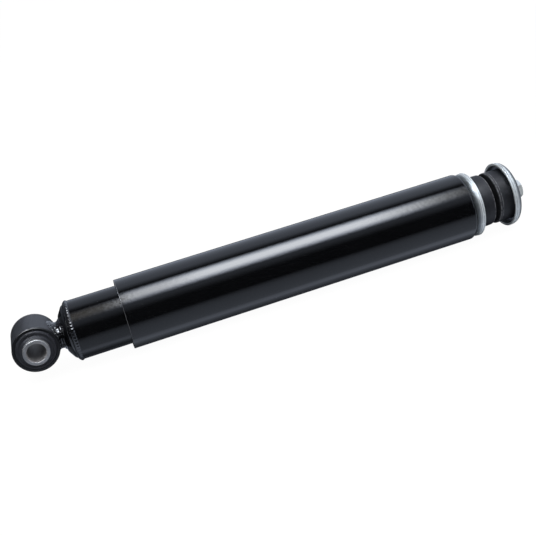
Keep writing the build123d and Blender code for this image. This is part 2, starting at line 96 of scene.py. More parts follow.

# Where wear, painted shade and painted highlights begin and end on the solids
BORE_RADIUS = 0.0111
BORE_MOUTH = 0.0118
THREAD_PITCH = 0.0015
BUSH_GAP = 0.0071
LOWER_BUSH_SIDE = 0.0185
UPPER_BUSH_CORNER = 0.0008
UPPER_BUSH_STEP = 0.0036
SHADED_FACE_DEPTH = 0.0009

GLOSS_IOR = 1.5

# Shader writing

class Field:
    """What one socket gives over a surface. Arithmetic on a number adds its Math nodes."""

    def __init__(self, shader, node, output):
        self.shader = shader
        self.node = node
        self.socket = node.outputs[output] if node.outputs else None

    def out(self, output):
        """Another output of the same node."""
        return Field(self.shader, self.node, output)

    def math(self, operation, *values, clamp=False):
        """Math node on the values, in the order of its sockets."""
        settings = {"operation": operation, "use_clamp": clamp}
        return self.shader.node("ShaderNodeMath", settings, dict(enumerate(values)))

    def __add__(self, other):
        return self.math("ADD", self, other)

    def __radd__(self, other):
        return self.math("ADD", other, self)

    def __sub__(self, other):
        return self.math("SUBTRACT", self, other)

    def __rsub__(self, other):
        return self.math("SUBTRACT", other, self)

    def __mul__(self, other):
        return self.math("MULTIPLY", self, other)

    def __rmul__(self, other):
        return self.math("MULTIPLY", other, self)

    def __truediv__(self, other):
        return self.math("DIVIDE", self, other)

    def __neg__(self):
        return self.math("MULTIPLY", self, -1.0)

    def __abs__(self):
        return self.math("ABSOLUTE", self)

    def root(self):
        return self.math("SQRT", self)

    def sine(self):
        return self.math("SINE", self)

    def angle_from(self, other):
        """Angle in radians whose sine goes with this number and its cosine with the other."""
        return self.math("ARCTAN2", self, other)

    def or_more(self, other):
        return self.math("MAXIMUM", self, other)

    def clamped(self):
        return self.math("ADD", self, 0.0, clamp=True)

    def fade(self, start, end, low=0.0, high=1.0):
        """Smooth change from low to high while this number goes from start to end."""
        sockets = {"Value": self, "From Min": start, "From Max": end, "To Min": low, "To Max": high}
        return self.shader.node("ShaderNodeMapRange", {"interpolation_type": "SMOOTHSTEP"}, sockets)

    def window(self, start, end, soft):
        """1 between start and end, fading to 0 over soft outside them."""
        return self.fade(start - soft, start) * self.fade(end, end + soft, 1.0, 0.0)


class Shader:
    """Node tree of a material or of the world, written through one method."""

    def __init__(self, owner):
        owner.use_nodes = True
        self.tree = owner.node_tree
        self.tree.nodes.clear()

    def node(self, kind, settings=None, sockets=None, output=0):
        """Add a node: its type, its settings, then the values or links of its sockets."""
        made = self.tree.nodes.new(kind)
        for name, value in (settings or {}).items():
            setattr(made, name, value)
        for key, value in (sockets or {}).items():
            if isinstance(value, Field):
                self.tree.links.new(value.socket, made.inputs[key])
            else:
                made.inputs[key].default_value = value
        return Field(self, made, output)

    def mix(self, mask, low, high):
        """Colour that goes from low to high with a mask."""
        return self.node("ShaderNodeMix", {"data_type": "RGBA"}, {0: mask, 6: low, 7: high}, 2)

    def noise(self, size, detail=3.0, rough=0.5, stretch=(1.0, 1.0, 1.0), shift=0.0):
        """Cloudy pattern about 0 to 1 whose lumps are size metres across."""
        where = self.node(
            "ShaderNodeMapping",
            None,
            {
                "Vector": self.node("ShaderNodeTexCoord", output="Object"),
                "Location": (shift, shift, shift),
                "Scale": stretch,
            },
        )
        sockets = {"Vector": where, "Scale": 1.0 / size, "Detail": detail, "Roughness": rough}
        return self.node("ShaderNodeTexNoise", None, sockets)

    def marks(self, place, detail=2.0):
        """Uneven lines across one number, as a tool leaves them across a radius or a length."""
        sockets = {"W": place, "Detail": detail, "Roughness": 0.6}
        return self.node("ShaderNodeTexNoise", {"noise_dimensions": "1D"}, sockets)

    def axes(self):
        """Station along the damper, and the two other coordinates."""
        where = self.node("ShaderNodeTexCoord", output="Object")
        split = self.node("ShaderNodeSeparateXYZ", None, {"Vector": where}, "X")
        return split, split.out("Y"), split.out("Z")

    def ray_kinds(self):
        """1 where the camera sees the surface directly, and 1 where gloss mirrors it."""
        light = self.node("ShaderNodeLightPath", output="Is Camera Ray")
        return light.or_more(light.out("Is Transmission Ray")), light.out("Is Glossy Ray")

    def bump(self, height, depth, under=None):
        """Normal of a height that is depth metres deep, over another bump if there is one."""
        sockets = {"Height": height, "Distance": depth, "Strength": 1.0}
        if under is not None:
            sockets["Normal"] = under
        return self.node("ShaderNodeBump", None, sockets)

    def finish(self, sockets):
        """The surface itself and the material's output."""
        surface = self.node("ShaderNodeBsdfPrincipled", None, sockets)
        self.node("ShaderNodeOutputMaterial", None, {"Surface": surface})


def new_finish(name):
    """A fresh material and its shader."""
    material = bpy.data.materials.new(name)
    return material, Shader(material)


def scaled(tint, factor):
    """A tint made lighter or darker."""
    return [value * factor for value in tint]


def colour(tint, factor=1.0):
    """A tint as a colour socket takes it, made lighter or darker."""
    return (*scaled(tint, factor), 1.0)


def radius_of(first, second):
    """Distance from an axis, from the two coordinates across it."""
    return (first * first + second * second).root()


# Paint

def gloss_paint(name, tint, shine, peel, coat=0.25, cut_end=None):
    """Stoved gloss black with orange peel and dust in it.

    At a cut end, given as its station, the edge is worn to bare metal, and made stronger on top as
    a painted highlight.
    """
    material, shader = new_finish(name)
    along, _, up = shader.axes()
    cloud = shader.noise(0.045, 4.0, 0.55)
    dust = shader.noise(0.0016, 2.0, 0.6, shift=3.1).fade(0.66, 0.74)
    base = shader.mix(cloud, colour(tint), colour([value * 1.5 + 0.001 for value in tint]))
    base = shader.mix(dust * 0.25, base, PAINT_DUST)
    rough = shine + cloud * shine * 0.5 + dust * 0.08
    metal = 0.0
    if cut_end is not None:
        chip = shader.noise(0.004, 3.0, 0.6, shift=1.7) - 0.5
        patch = shader.noise(0.03, 2.0, 0.5, shift=11.0).fade(0.30, 0.50, 0.35, 1.0)
        # Bare metal at the cut end, made stronger on top as a painted highlight.
        bared_top_lit = patch * up.fade(-0.02, 0.01, 0.1, 1.0)
        ragged = along + chip * 0.0006
        worn = ragged.fade(cut_end + 0.0001, cut_end + 0.0005, 1.0, 0.0) * bared_top_lit
        base = shader.mix(worn, base, BARE_EDGE)
        rough = rough + worn * 0.22
        metal = worn * 0.6
    orange_peel = shader.noise(0.0030, 2.0, 0.4, (0.6, 1.0, 1.0), 5.0) + cloud * 1.2
    shader.finish(
        {
            "Base Color": base,
            "Roughness": rough,
            "Metallic": metal,
            "IOR": GLOSS_IOR,
            "Coat Weight": coat,
            "Coat Roughness": 0.03,
            "Normal": shader.bump(orange_peel, peel),
        }
    )
    return material


def satin_paint(name, tint, rough_level, grain, half_width):
    """Thin satin black on a ring about Y: rubbed outside; on its faces run thick and glossy, and
    darker as painted shade.
    """
    material, shader = new_finish(name)
    cloud = shader.noise(0.011, 5.0, 0.6)
    fine = shader.noise(0.0011, 3.0, 0.6, shift=2.3)
    rubbed = shader.noise(0.004, 4.0, 0.65, shift=7.7).fade(0.58, 0.75)
    across = abs(shader.axes()[1])
    # Faces of the ring: glossier thick paint, real, and a darker colour that is painted shade.
    thick = across.fade(half_width - 0.0022, half_width - 0.0008)
    thick_rough = 0.28
    base = shader.mix(cloud, colour(tint), colour(tint, 1.9))
    base = shader.mix(rubbed * 0.35, base, RUBBED_PAINT)
    base = shader.mix(thick * 0.9, base, THICK_SHADED_PAINT)
    rough = rough_level + cloud * 0.12 - rubbed * 0.08
    shader.finish(
        {
            "Base Color": base,
            "Roughness": rough - thick * (rough_level - thick_rough),
            "IOR": GLOSS_IOR,
            "Specular IOR Level": 0.45,
            "Normal": shader.bump((fine + cloud * 2.0) * (1.0 - thick * 0.7), grain),
        }
    )
    return material


# Rubber and polymers

def moulded_rubber(name, tint, rough_level, streak, rims=(), skin=0.0):
    """Matt moulded rubber: bloom in patches, fine flow streaks, small pores.

    Rims are stations where it is scuffed and lighter, partly as a painted highlight along the
    edges. Inside the radius skin it is darker, as painted shade.
    """
    material, shader = new_finish(name)
    along, across, up = shader.axes()
    # Painted shade: inside the radius skin the face is darkened and made rougher.
    deep = radius_of(across, up).fade(skin - 0.0020, skin, 1.0, 0.0)
    bloom = shader.noise(0.02, 4.0, 0.6)
    flow = shader.noise(0.0016, 3.0, 0.6, streak, 4.0)
    pore = shader.noise(0.0007, 2.0, 0.5, shift=9.0).fade(0.64, 0.72)
    base = shader.mix(bloom.fade(0.35, 0.7), colour(tint), colour(tint, 1.7))
    base = shader.mix(flow.fade(0.52, 0.72) * 0.4, base, colour(tint, 2.6))
    scuff_half = 0.00045
    # Scuffs at the rims, made lighter: partly real scuffs, partly a painted highlight along the
    # edges.
    for rim in rims:
        scuff = shader.noise(0.003, 3.0, 0.65, shift=rim * 90.0).fade(0.36, 0.58)
        scuff = scuff * along.window(rim - scuff_half, rim + scuff_half, 0.0005)
        base = shader.mix(scuff * 0.9, base, SCUFF_AND_HIGHLIGHT_RUBBER)
    base = shader.mix(deep * 0.85, base, SHADED_RUBBER_FACE)
    shader.finish(
        {
            "Base Color": base,
            "Roughness": rough_level + bloom * 0.1 - flow * 0.06 + deep * 0.35,
            "IOR": GLOSS_IOR,
            "Specular IOR Level": 0.42,
            "Normal": shader.bump(flow - pore * 0.6, 0.00012),
        }
    )
    return material


def plain_polymer(name, tint, rough_level):
    """Cast polymer: slightly uneven colour and a soft, pitted skin."""
    material, shader = new_finish(name)
    cloud = shader.noise(0.006, 4.0, 0.6)
    pit = shader.noise(0.0009, 3.0, 0.6, shift=2.0)
    shader.finish(
        {
            "Base Color": shader.mix(cloud, colour(tint, 0.8), colour(tint)),
            "Roughness": rough_level + cloud * 0.15,
            "Normal": shader.bump(pit, 0.00006),
        }
    )
    return material


# Plating and bare metal

def wear_and_shade_cup(shader, base, rough, along, radius, cup):
    """Colour and roughness of a pressed cup, from those of its plating.

    The cup is its floor's station and its lip's radius. Its inside is painted darker as painted
    shade where the rubber shades it. Its bend is painted darker as a painted reflection of the dark
    parts beside it. Drawing has left marks round it.
    """
    floor, lip = cup
    depth = abs(along - floor)
    smear = shader.noise(0.006, 3.0, 0.6, shift=8.0) * 0.0016
    wall = (radius + smear).fade(lip - 0.0026, lip - 0.0018, 1.0, 0.0)
    # Painted shade: the inside of the cup, where the rubber shades it, is made darker.
    inside = wall * depth.fade(0.0010, 0.0022)
    # Painted reflection: the bend is darkened for the dark parts it would mirror, and it is made
    # smoother.
    bend = depth.fade(0.0032, 0.0072, 1.0, 0.0) * radius.fade(lip - 0.0080, lip - 0.0050)
    patch = shader.noise(0.009, 3.0, 0.6, shift=12.0).fade(0.36, 0.50)
    dragged = shader.marks((radius * 0.6 + along) * 170.0).fade(0.50, 0.62) * patch
    base = shader.mix(inside * 0.80, base, SHADED_CUP_INSIDE)
    base = shader.mix(bend * 0.86, base, ZINC_BEND_SHADE)
    base = shader.mix(dragged * 0.75, base, DRAG_MARK)
    return base, rough - bend * 0.20


def zinc_plating(name, tint, rough_level, ring_grain, cup=None):
    """Blue-white zinc: cloudy passivation, marks round the axis, dull spots, a cup's wear and
    painted shade.
    """
    material, shader = new_finish(name)
    along, across, up = shader.axes()
    radius = radius_of(across, up)
    rings = shader.marks((radius + along) * ring_grain, 3.0)
    cloud = shader.noise(0.012, 4.0, 0.55)
    spot = shader.noise(0.0035, 3.0, 0.6, shift=6.0).fade(0.6, 0.74)
    base = shader.mix(cloud.fade(0.3, 0.7), colour(tint), colour(tint, 0.86))
    base = shader.mix(spot * 0.3, base, DULL_ZINC)
    rough = rough_level + cloud * 0.12 + spot * 0.10
    if cup is not None:
        base, rough = wear_and_shade_cup(shader, base, rough, along, radius, cup)
    shader.finish(
        {
            "Base Color": base,
            "Metallic": 0.48 + cloud * 0.12,
            "Roughness": rough,
            "Normal": shader.bump(rings + cloud * 0.5, 0.000025),
        }
    )
    return material


def turned_metal(name, tint, rough_level, groove, uneven=0.15):
    """Metal turned about the damper axis: fine grooves and a little staining."""
    material, shader = new_finish(name)
    along, across, up = shader.axes()
    grooves = shader.marks((radius_of(across, up) + along) * groove)
    cloud = shader.noise(0.008, 4.0, 0.6)
    shader.finish(
        {
            "Base Color": shader.mix(cloud.fade(0.3, 0.75), colour(tint), colour(tint, 1 - uneven)),
            "Metallic": 1.0,
            "Roughness": rough_level + grooves * 0.08 + cloud * 0.08,
            "Normal": shader.bump(grooves, 0.00003),
        }
    )
    return material


def chromed_rod(name, tint, rough_level, thread_start, pitch):
    """Hard chrome with faint polishing lines, and a cut thread on the stud beyond thread_start."""
    material, shader = new_finish(name)
    along, across, up = shader.axes()
    threaded = along.fade(thread_start, thread_start + 0.0004)
    turn = up.angle_from(across) / (2.0 * math.pi)
    helix = ((along / pitch - turn) * (2.0 * math.pi)).sine()
    polish = shader.marks(along * 2600.0)
    cloud = shader.noise(0.008, 4.0, 0.6)
    base = shader.mix(cloud.fade(0.3, 0.75), colour(tint), colour(tint, 0.94))
    base = shader.mix(threaded, base, CUT_THREAD)
    polished = shader.bump(polish, 0.000006)
    shader.finish(
        {
            "Base Color": base,
            "Metallic": 1.0,
            "Roughness": rough_level + polish * 0.08 + cloud * 0.08 + threaded * 0.16,
            "Normal": shader.bump(helix * threaded, 0.0004, under=polished),
        }
    )
    return material


def bore_turned_metal(name, tint, rough_level, groove):
    """Metal turned about the eye's own axis, with a darker, rougher bore."""
    material, shader = new_finish(name)
    along, _, up = shader.axes()
    radius = radius_of(along, up)
    grooves = shader.marks(radius * groove)
    cloud = shader.noise(0.007, 4.0, 0.6)
    bore = radius.fade(BORE_RADIUS, BORE_MOUTH, 1.0, 0.0)
    base = shader.mix(cloud.fade(0.3, 0.75), colour(tint), colour(tint, 0.7))
    shader.finish(
        {
            "Base Color": shader.mix(bore, base, DARKER_BORE_GREY),
            "Metallic": 0.85 - bore * 0.3,
            "Roughness": rough_level + grooves * 0.1 + bore * 0.15,
            "Normal": shader.bump(grooves, 0.00004),
        }
    )
    return material


def grained_metal(name, tint, metal_level, rough_level, grain_size, depth):
    """Pressed powder or cast metal: a grainy skin with small dark pores."""
    material, shader = new_finish(name)
    grain = shader.noise(grain_size, 4.0, 0.65)
    pore = shader.noise(grain_size * 0.8, 2.0, 0.5, shift=5.0).fade(0.62, 0.7)
    cloud = shader.noise(0.01, 3.0, 0.5, shift=2.0)
    base = shader.mix(cloud, colour(tint, 0.8), colour(tint))
    shader.finish(
        {
            "Base Color": shader.mix(pore * 0.7, base, colour(tint, 0.35)),
            "Metallic": metal_level,
            "Roughness": rough_level + grain * 0.15,
            "Normal": shader.bump(grain - pore, depth),
        }
    )
    return material


# Settings that a user would change

class FinishSettings(bpy.types.PropertyGroup):
    """Colours and gloss of the damper's finishes."""

    paint: bpy.props.FloatVectorProperty(
        name="Gloss black",
        description="Paint of the dust tube and the cylinder",
        subtype="COLOR",
        default=(0.0010, 0.0011, 0.0014),
        min=0.0,
        max=1.0,
    )
    paint_shine: bpy.props.FloatProperty(
        name="Paint roughness",
        description="Roughness of the gloss paint",
        subtype="FACTOR",
        default=0.055,
        min=0.0,
        max=1.0,
    )
    ring_paint: bpy.props.FloatVectorProperty(
        name="Satin black",
        description="Paint of the eye ring",
        subtype="COLOR",
        default=(0.0128, 0.0134, 0.0158),
        min=0.0,
        max=1.0,
    )
    rubber: bpy.props.FloatVectorProperty(
        name="Rubber",
        description="Rubber of the eye and of the stud's bushes",
        subtype="COLOR",
        default=(0.0056, 0.0060, 0.0078),
        min=0.0,
        max=1.0,
    )
    zinc: bpy.props.FloatVectorProperty(
        name="Zinc",
        description="Plating of the cup washers and the nut",
        subtype="COLOR",
        default=(0.54, 0.575, 0.59),
        min=0.0,
        max=1.0,
    )
    steel: bpy.props.FloatVectorProperty(
        name="Steel",
        description="Bare turned steel",
        subtype="COLOR",
        default=(0.52, 0.52, 0.53),
        min=0.0,
        max=1.0,
    )


class WeldSettings(bpy.types.PropertyGroup):
    """Sizes of the two welds."""

    neck_waist: bpy.props.FloatProperty(
        name="Neck radius",
        description="Radius of the neck between the eye and the base cap",
        subtype="DISTANCE",
        default=0.0157,
        min=0.005,
    )
    neck_toe: bpy.props.FloatProperty(
        name="Weld toe",
        description="How far the weld spreads over the eye ring, beyond the neck",
        subtype="DISTANCE",
        default=0.0040,
        min=0.0005,
    )
    bead_rise: bpy.props.FloatProperty(
        name="Bead height",
        description="Height of the bead on the eye ring",
        subtype="DISTANCE",
        default=0.0018,
        min=0.0,
    )
    neck_ripples: bpy.props.IntProperty(
        name="Neck ripples",
        description="Ripples of the weld around the neck",
        default=26,
        min=3,
    )
    seam_ripples: bpy.props.IntProperty(
        name="Seam ripples",
        description="Ripples of the bead around the cylinder",
        default=62,
        min=3,
    )


class StudioSettings(bpy.types.PropertyGroup):
    """Camera, lamp and floor."""

    camera_place: bpy.props.FloatVectorProperty(
        name="Camera place",
        description="Where the camera stands",
        subtype="TRANSLATION",
        unit="LENGTH",
        default=(0.07753, -1.02092, 0.40253),
    )
    camera_right: bpy.props.FloatVectorProperty(
        name="Camera right",
        description="Direction that is to the right in the picture",
        subtype="DIRECTION",
        default=(0.93649, -0.27477, -0.21791),
    )
    camera_up: bpy.props.FloatVectorProperty(
        name="Camera up",
        description="Direction that is up in the picture",
        subtype="DIRECTION",
        default=(0.29822, 0.29702, 0.90711),
    )
    lens: bpy.props.FloatProperty(
        name="Lens",
        description="Focal length on a 36 mm sensor",
        default=62.70,
        min=1.0,
    )
    floor_half: bpy.props.FloatProperty(
        name="Floor",
        description="Half the side of the floor",
        subtype="DISTANCE",
        default=12.0,
        min=1.0,
    )
    lamp_height: bpy.props.FloatProperty(
        name="Lamp height",
        description="Height of the soft lamp above the damper",
        subtype="DISTANCE",
        default=1.6,
        min=0.2,
    )
    lamp_power: bpy.props.FloatProperty(
        name="Lamp power",
        description="Power of the soft lamp",
        subtype="POWER",
        default=26.0,
        min=0.0,
    )
    band: bpy.props.FloatProperty(
        name="Soft band",
        description="Brightness of the studio's long soft light, as gloss shows it",
        default=12.0,
        min=0.0,
    )


# Welds

def open_tube(around, along):
    """Tube of radius 1 about X, from 0 to 1, with so many faces around and along."""
    shape = bmesh.new()
    bmesh.ops.create_circle(shape, segments=around, radius=1.0)
    quarter = Matrix.Rotation(math.radians(90.0), 3, "Y")
    bmesh.ops.rotate(shape, verts=shape.verts, cent=(0.0, 0.0, 0.0), matrix=quarter)
    rim = shape.edges[:]
    for _ in range(along):
        made = bmesh.ops.extrude_edge_only(shape, edges=rim)["geom"]
        points = [item for item in made if isinstance(item, bmesh.types.BMVert)]
        rim = [item for item in made if isinstance(item, bmesh.types.BMEdge) and item.is_boundary]
        bmesh.ops.translate(shape, verts=points, vec=(1.0 / along, 0.0, 0.0))
    return shape


def lumps(turn, size, seed):
    """Even noise around the axis that meets itself after a full turn, from -1 to 1."""
    return noise.noise(Vector((math.cos(turn), math.sin(turn), seed)) * (1.0 / size))


def add_weld(shape, name, node, material, levels):
    """Close a weld's poles and hang it on the cylinder in place of its CAD node."""
    same_point = 0.000005
    bmesh.ops.remove_doubles(shape, verts=shape.verts, dist=same_point)
    bmesh.ops.recalc_face_normals(shape, faces=shape.faces)
    for face in shape.faces:
        face.smooth = True
    mesh = bpy.data.meshes.new(name)
    shape.to_mesh(mesh)
    shape.free()
    mesh.materials.append(material)
    weld = bpy.data.objects.new(name, mesh)
    bpy.context.scene.collection.objects.link(weld)
    smooth = weld.modifiers.new("smooth", "SUBSURF")
    smooth.levels = levels
    smooth.render_levels = levels
    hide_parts(node)
    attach(weld, "cylinder")


def eye_weld(welds, material):
    """Neck run up in weld metal between the eye ring and the base cap."""
    ring_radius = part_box("eye_ring")[1].z
    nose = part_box("base_cap")[0].x
    waist = welds.neck_waist
    toe = waist + welds.neck_toe
    bead = welds.bead_rise
    # Each row: share of the way from the ring to the cap, radius, lift off that face, how rippled
    rows = [
        (0.0, 0.0, -0.0018, 0.0),
        (0.0, toe - 0.0012, -0.0014, 0.0),
        (0.0, toe, -0.0004, 0.5),
        (0.0, toe - 0.0007, 0.6 * bead, 1.0),
        (0.0, toe - 0.0019, bead, 1.0),
        (0.0, toe - 0.0032, 0.9 * bead, 0.9),
        (0.1, waist + 0.0004, 0.8 * bead, 0.6),
        (0.45, waist, 0.0, 0.4),
        (0.75, waist + 0.0002, 0.0, 0.5),
        (1.0, waist + 0.0016, -0.9 * bead, 0.8),
        (1.0, waist + 0.0027, -0.5 * bead, 0.6),
        (1.0, waist + 0.0030, 0.0004, 0.2),
        (1.0, waist + 0.0022, 0.0012, 0.0),
        (1.0, 0.0, 0.0016, 0.0),
    ]
    # Heights of the lumps and ripples, outwards from the neck and along it
    lump_out, ripple_out = 0.0007, 0.00022
    lump_along, ripple_along = 0.0006, 0.00034
    around = 144
    steps = len(rows) - 1
    shape = open_tube(around, steps)
    for point in shape.verts:
        share, radius, lift, rippled = rows[round(point.co.x * steps)]
        turn = math.atan2(point.co.z, point.co.y)
        wander = 3.0 * lumps(turn, 0.7, 0.4)
        wave = math.cos(welds.neck_ripples * turn + 2.5 * share + wander)
        rough = lumps(turn, 0.22, share * 5.0 + radius * 400.0)
        radius += rippled * (lump_out * rough + ripple_out * wave)
        lift += rippled * (lump_along * rough + ripple_along * wave)
        height = radius * math.sin(turn)
        ring_face = math.sqrt(ring_radius ** 2 - height ** 2)
        point.co = (
            (1.0 - share) * ring_face + share * nose + lift,
            radius * math.cos(turn),
            height,
        )
    add_weld(shape, "eye_weld_bead", "eye_weld", material, 2)


def seam_weld(welds, material):
    """Bead round the cylinder where the base cap is welded to the reservoir tube."""
    low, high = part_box("base_seam_weld")
    middle = (low.x + high.x) / 2
    half = (high.x - low.x) / 2
    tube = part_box("reservoir_tube")[1].z
    rise = high.z - tube
    sunk = 0.0003
    # Where the bead's end laps its start, and half the lap's length, in radians
    lap_at, lap_half = -1.2, 0.10
    faces_per_ripple = 4
    steps = 10
    shape = open_tube(welds.seam_ripples * faces_per_ripple, steps)
    for point in shape.verts:
        turn = math.atan2(point.co.z, point.co.y)
        across = 2.0 * point.co.x - 1.0
        crown = 1.0 - across ** 2
        wave = math.cos(welds.seam_ripples * turn + 2.2 * across ** 2)
        rough = lumps(turn, 0.16, across)
        lap = max(0.0, 1.0 - (abs(turn - lap_at) / lap_half) ** 2)
        height = crown * rise * (0.72 + 0.22 * wave + 0.14 * rough + 0.10 * lap)
        place = middle + across * half * (1.0 + 0.08 * lumps(turn, 0.3, 7.0))
        radius = tube - sunk + height
        point.co = (place, radius * math.cos(turn), radius * math.sin(turn))
    rims = [edge for edge in shape.edges if edge.is_boundary]
    bmesh.ops.bridge_loops(shape, edges=rims)
    add_weld(shape, "base_seam_bead", "base_seam_weld", material, 1)


# Operators: the finishes, piece by piece

def dress(material, *names):
    """Give CAD nodes a material in place of their plain one."""
    for name in names:
        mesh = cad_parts[name].data
        mesh.materials.clear()
        mesh.materials.append(material)


class DressEye(bpy.types.Operator):
    """Satin paint on the eye ring, the rubber and the turned inner sleeve"""

    bl_idname = "damper.dress_eye"
    bl_label = "Eye"

    def execute(self, context):
        looks = context.scene.damper_finish
        half_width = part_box("eye_ring")[1].y
        paint = satin_paint("eye_ring_paint", looks.ring_paint, 0.34, 0.00010, half_width)
        dress(paint, "eye_ring")
        # The eye's rubber is the bush rubber made 1.7 times lighter.
        lightened_rubber = scaled(looks.rubber, 1.7)
        dress(moulded_rubber("eye_rubber", lightened_rubber, 0.52, (1.0, 0.3, 1.0)), "eye_bush")
        dress(bore_turned_metal("sleeve_steel", SLEEVE_STEEL, 0.48, 1400.0), "eye_sleeve")
        return {"FINISHED"}


class DressCylinder(bpy.types.Operator):
    """Gloss paint on the base cap and the reservoir tube, and the honed pressure tube"""

    bl_idname = "damper.dress_cylinder"
    bl_label = "Cylinder"

    def execute(self, context):
        looks = context.scene.damper_finish
        tint, shine = looks.paint, looks.paint_shine
        dress(gloss_paint("cylinder_paint", tint, shine * 1.4, 0.00005, 0.0), "reservoir_tube")
        dress(gloss_paint("base_cap_paint", tint, shine * 1.1, 0.00012, 0.6), "base_cap")
        dress(turned_metal("honed_tube", HONED_STEEL, 0.16, 1800.0), "pressure_tube")
        return {"FINISHED"}


class LayWelds(bpy.types.Operator):
    """Weld metal at the eye's neck and round the base cap, under the paint"""

    bl_idname = "damper.lay_welds"
    bl_label = "Welds"

    def execute(self, context):
        looks = context.scene.damper_finish
        welds = context.scene.damper_welds
        paint = gloss_paint("weld_paint", looks.paint, looks.paint_shine, 0.00012, 1.0)
        eye_weld(welds, paint)
        seam_weld(welds, paint)
        return {"FINISHED"}


class DressFootValve(bpy.types.Operator):
    """Powder-metal foot valve with its spring-steel discs"""

    bl_idname = "damper.dress_foot_valve"
    bl_label = "Foot valve"

    def execute(self, context):
        looks = context.scene.damper_finish
        body = grained_metal("foot_iron", FOOT_IRON, 0.85, 0.42, 0.0006, 0.00004)
        dress(body, "foot_valve_body")
        dress(turned_metal("foot_pin_steel", looks.steel, 0.28, 1500.0), "foot_valve_pin")
        discs = turned_metal("foot_disc_steel", SPRING_STEEL, 0.14, 900.0, 0.25)
        dress(discs, "foot_valve_shims", "foot_check_disc", "foot_star_spring")
        small = turned_metal("foot_small_steel", looks.steel, 0.30, 1700.0)
        dress(small, "foot_distance_sleeve", "foot_stop_washer")
        dress(zinc_plating("foot_nut_zinc", looks.zinc, 0.26, 900.0), "foot_valve_nut")
        return {"FINISHED"}


class DressPiston(bpy.types.Operator):
    """Powder-metal piston, its slide band, discs, washers and nut"""

    bl_idname = "damper.dress_piston"
    bl_label = "Piston"

    def execute(self, context):
        looks = context.scene.damper_finish
        dress(grained_metal("piston_iron", PISTON_IRON, 0.85, 0.40, 0.0006, 0.00004), "piston")
        dress(plain_polymer("slide_band_polymer", SLIDE_BAND, 0.42), "piston_band")
        discs = turned_metal("piston_disc_steel", SPRING_STEEL, 0.14, 900.0, 0.25)
        dress(discs, "piston_shims", "piston_check_disc", "piston_star_spring")
        small = turned_metal("piston_small_steel", looks.steel, 0.30, 1700.0)
        dress(small, "piston_support_washer", "piston_distance_sleeve", "piston_stop_washer")
        dress(zinc_plating("piston_nut_zinc", looks.zinc, 0.26, 900.0), "piston_nut")
        return {"FINISHED"}


class DressRod(bpy.types.Operator):
    """Hard-chromed rod with its stop ring and bumper"""

    bl_idname = "damper.dress_rod"
    bl_label = "Rod"

    def execute(self, context):
        looks = context.scene.damper_finish
        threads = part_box("plain_washer")[0].x
        dress(chromed_rod("hard_chrome", HARD_CHROME, 0.05, threads, THREAD_PITCH), "piston_rod")
        dress(turned_metal("stop_ring_steel", looks.steel, 0.30, 1500.0), "rebound_stop_ring")
        dress(plain_polymer("bumper_polymer", BUMPER, 0.45), "rebound_bumper")
        return {"FINISHED"}


class DressGuide(bpy.types.Operator):
    """Cast rod guide, its bearing and the seals"""

    bl_idname = "damper.dress_guide"
    bl_label = "Rod guide"

    def execute(self, context):
        looks = context.scene.damper_finish
        casting = grained_metal("guide_casting", GUIDE_CASTING, 0.9, 0.38, 0.0009, 0.00006)
        dress(casting, "rod_guide")
        dress(turned_metal("bearing_bronze", BRONZE, 0.24, 1600.0, 0.2), "guide_bush")
        seal = moulded_rubber("seal_rubber", SEAL_RUBBER, 0.45, (1.0, 1.0, 1.0))
        dress(seal, "rod_seal", "guide_ring_seal")
        dress(turned_metal("garter_steel", GARTER_STEEL, 0.20, 3000.0), "seal_garter_spring")
        dress(turned_metal("retainer_steel", looks.steel, 0.30, 1500.0), "seal_retainer")
        return {"FINISHED"}


class DressDustCover(bpy.types.Operator):
    """Gloss paint on the dust tube, bare at its cut end, and on its cap"""

    bl_idname = "damper.dress_dust_cover"
    bl_label = "Dust cover"

    def execute(self, context):
        looks = context.scene.damper_finish
        tint, shine = looks.paint, looks.paint_shine
        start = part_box("dust_tube")[0].x
        dress(gloss_paint("dust_tube_paint", tint, shine, 0.00004, cut_end=start), "dust_tube")
        dress(gloss_paint("dust_cap_paint", tint, shine * 2, 0.00008), "dust_cap")
        return {"FINISHED"}


class DressStudEnd(bpy.types.Operator):
    """Zinc cups, washer and nut, and the two rubbers on the stud"""

    bl_idname = "damper.dress_stud_end"
    bl_label = "Stud end"

    def execute(self, context):
        looks = context.scene.damper_finish
        # Painted light: the cups get a lightened copy of the zinc.
        pale = scaled(looks.zinc, 1.2)
        low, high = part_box("lower_cup_washer")
        cup = (low.x, high.z)
        dress(zinc_plating("lower_cup_zinc", pale, 0.50, 700.0, cup), "lower_cup_washer")
        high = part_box("upper_cup_washer")[1]
        cup = (high.x, high.z)
        dress(zinc_plating("upper_cup_zinc", pale, 0.46, 700.0, cup), "upper_cup_washer")
        # Painted highlight: the nut and washer get a still lighter copy of the zinc.
        highlit_zinc = scaled(looks.zinc, 1.5)
        dress(zinc_plating("nut_zinc", highlit_zinc, 0.12, 1100.0), "stud_nut", "plain_washer")
        low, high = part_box("upper_bush")
        lower_rim = low.x - BUSH_GAP
        # Rims of the bushes, where the scuffs and a painted edge highlight go.
        rims = (
            lower_rim,
            lower_rim - LOWER_BUSH_SIDE,
            low.x + UPPER_BUSH_CORNER,
            low.x + UPPER_BUSH_STEP,
        )
        # Painted shade on the upper bush's face across the gap, inside this radius.
        skin = high.z - SHADED_FACE_DEPTH
        rubber = moulded_rubber("bush_rubber", looks.rubber, 0.52, (0.25, 1.0, 1.0), rims, skin)
        dress(rubber, "lower_bush", "upper_bush")
        dress(zinc_plating("spacer_zinc", looks.zinc, 0.28, 900.0), "spacer_sleeve")
        return {"FINISHED"}


